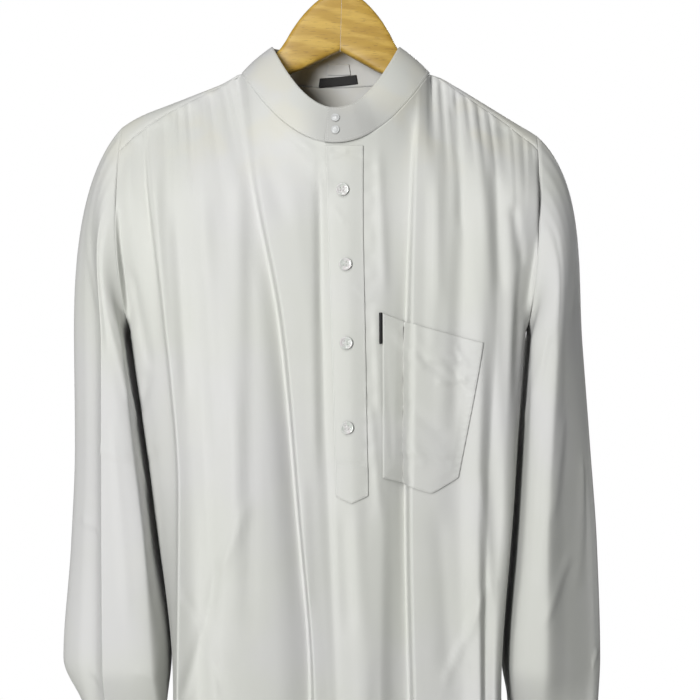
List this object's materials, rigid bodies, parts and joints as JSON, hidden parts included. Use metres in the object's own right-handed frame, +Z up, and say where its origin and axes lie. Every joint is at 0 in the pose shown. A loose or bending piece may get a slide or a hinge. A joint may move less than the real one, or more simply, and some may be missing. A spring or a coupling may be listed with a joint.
{
  "type": "thobe robe on wooden hanger",
  "caption": "White ankle-length long-sleeved robe with stand collar, half placket and chest pocket, hung on a wooden hanger with a steel hook.",
  "frame": {"origin": "the inside top of the hanger's hook, where it hangs on a rail", "axes": "+Z up, -Y the way the garment's front faces, +X the viewer's right"},
  "size_m": [0.5873, 0.236, 1.5884],
  "materials": {
    "white_cloth": "matt",
    "label_white": "matt",
    "ribbon_black": "satin",
    "pearl_button": "gloss",
    "white_stud": "satin",
    "hanger_wood": "varnished",
    "hook_steel": "satin"
  },
  "bodies": {
    "root": {"front": "white_cloth", "back": "white_cloth", "yoke": "white_cloth", "sleeve_left": "white_cloth", "sleeve_right": "white_cloth", "cuff_left": "white_cloth", "cuff_right": "white_cloth", "collar": "white_cloth", "placket": "white_cloth", "pocket": "white_cloth", "size_label": "label_white", "neck_label": "ribbon_black", "pocket_tab": "ribbon_black", "button_1": "pearl_button", "button_2": "pearl_button", "button_3": "pearl_button", "button_4": "pearl_button", "stud_1": "white_stud", "stud_2": "white_stud", "hanger_left": "hanger_wood", "hanger_right": "hanger_wood", "hook": "hook_steel"}
  },
  "joints": []
}
